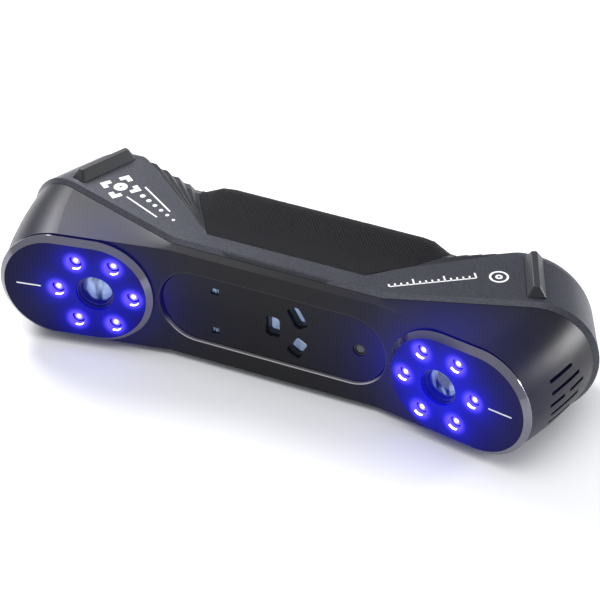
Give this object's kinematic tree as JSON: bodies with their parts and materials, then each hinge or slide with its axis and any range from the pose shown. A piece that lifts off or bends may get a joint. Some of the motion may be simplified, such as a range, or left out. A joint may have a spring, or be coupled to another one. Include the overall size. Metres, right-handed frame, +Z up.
{
  "type": "handheld 3d scanner",
  "caption": "Two-camera handheld 3D scanner with toed-in lens covers, lamp rings, a recessed projector window and a rubber grip with buttons behind.",
  "frame": {"origin": "centre of the footprint, on the surface that the scanner lies on", "axes": "+X to the right end with the vents, +Z up to the side with the ribs, -Y is where the cameras look"},
  "size_m": [0.216, 0.066, 0.0504],
  "materials": {
    "front_shell": "satin black moulded plastic",
    "rear_shell": "fine metallic gunmetal paint",
    "grip_rubber": "fine diamond texture",
    "cover_gloss": "deep gloss",
    "white_ink": "white fill",
    "foam": "matt foam",
    "black_metal": "black anodised",
    "black_plastic": "matt",
    "coated_glass": "coated",
    "circuit_board": "solder mask",
    "blue_lamp": "lit",
    "white_lamp": "phosphor",
    "green_lamp": "light pipe",
    "bare_aluminium": "machined",
    "brass": "turned",
    "steel": "zinc plated",
    "button_plastic": "satin",
    "amber_film": "polyimide film"
  },
  "bodies": {
    "scanner": {"front_housing": "front_shell", "rear_housing": "rear_shell", "grip_cover": "grip_rubber", "centre_window": "cover_gloss", "upright_projector": "black_metal", "upright_projector_glass": "coated_glass", "upper_projector": "black_metal", "upper_projector_glass": "coated_glass", "lower_projector": "black_metal", "lower_projector_glass": "coated_glass", "flash_lamps": "white_lamp", "colour_camera": "black_plastic", "colour_camera_lens": "coated_glass", "front_board": "circuit_board", "optical_bench": "bare_aluminium", "main_board": "circuit_board", "board_spacers": "brass", "board_chips": "black_plastic", "heat_sink": "bare_aluminium", "fan_frame": "black_plastic", "button_plate": "cover_gloss", "status_light": "green_lamp", "button_board": "circuit_board", "button_switches": "black_plastic", "usb_shell": "steel", "usb_tongue": "black_plastic", "socket_board": "circuit_board", "tripod_insert": "brass", "housing_screws": "steel", "bench_screws": "steel", "bumper_rib_left": "grip_rubber", "lens_cover_left": "cover_gloss", "index_mark_left": "white_ink", "cover_gasket_left": "foam", "lens_shroud_left": "black_plastic", "lens_barrel_left": "black_metal", "lens_glass_left": "coated_glass", "camera_body_left": "black_metal", "sensor_board_left": "circuit_board", "lamp_board_left": "circuit_board", "lamp_ring_left": "blue_lamp", "sensor_cable_left": "amber_film", "bumper_rib_right": "grip_rubber", "lens_cover_right": "cover_gloss", "index_mark_right": "white_ink", "cover_gasket_right": "foam", "lens_shroud_right": "black_plastic", "lens_barrel_right": "black_metal", "lens_glass_right": "coated_glass", "camera_body_right": "black_metal", "sensor_board_right": "circuit_board", "lamp_board_right": "circuit_board", "lamp_ring_right": "blue_lamp", "sensor_cable_right": "amber_film"},
    "fan": {"fan_rotor": "black_plastic"},
    "scan_button": {"scan_button": "button_plastic"},
    "plus_button": {"plus_button": "button_plastic"},
    "minus_button": {"minus_button": "button_plastic"}
  },
  "joints": [
    {"name": "fan_spin", "type": "hinge", "parent": "scanner", "child": "fan", "pos_m": [0.0892, -0.0125, 0.0234], "axis": [1, 0, 0], "continuous": true},
    {"name": "scan_press", "type": "slide", "parent": "scanner", "child": "scan_button", "axis": [0, -1, 0], "range_m": [0, 0.0008], "stiffness_N_per_m": 500, "springref_m": -0.0008},
    {"name": "plus_press", "type": "slide", "parent": "scanner", "child": "plus_button", "axis": [0, -1, 0], "range_m": [0, 0.0008], "stiffness_N_per_m": 500, "springref_m": -0.0008},
    {"name": "minus_press", "type": "slide", "parent": "scanner", "child": "minus_button", "axis": [0, -1, 0], "range_m": [0, 0.0008], "stiffness_N_per_m": 500, "springref_m": -0.0008}
  ]
}
